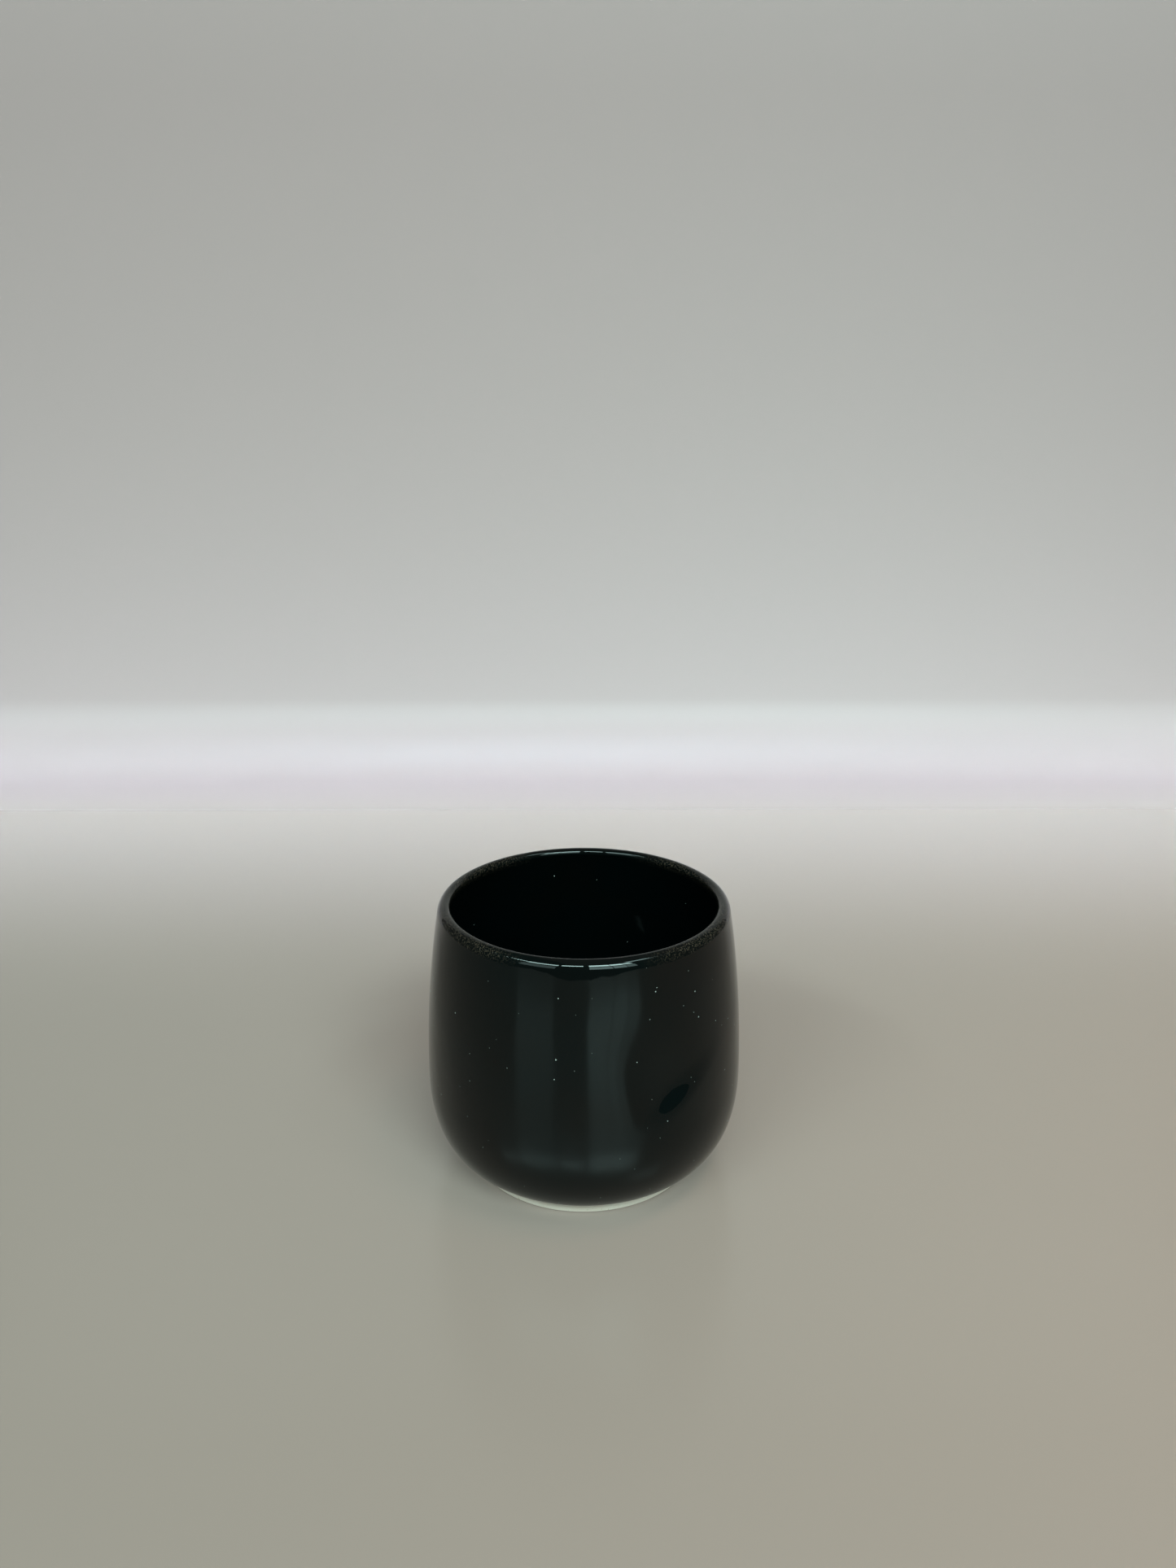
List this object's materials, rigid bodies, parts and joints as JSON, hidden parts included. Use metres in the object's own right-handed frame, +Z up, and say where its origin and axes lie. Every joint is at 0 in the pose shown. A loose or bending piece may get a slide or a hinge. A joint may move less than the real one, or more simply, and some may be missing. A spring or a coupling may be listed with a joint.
{
  "type": "empty candle jar",
  "caption": "Round-bellied glazed stoneware candle jar with a rounded lip, open mouth and bare clay foot ring, empty and ready for a wick and poured wax.",
  "frame": {"origin": "centre of the foot ring, on the surface that the jar stands on", "axes": "+Z up along the axis of revolution, from the foot to the lip; X and Y are level and equivalent"},
  "size_m": [0.085, 0.085, 0.0748],
  "materials": {
    "bare_stoneware": "matte",
    "outer_glaze": "gloss",
    "inner_glaze": "gloss"
  },
  "bodies": {
    "root": {"clay_body": "bare_stoneware", "outer_glaze": "outer_glaze", "inner_glaze": "inner_glaze"}
  },
  "joints": []
}
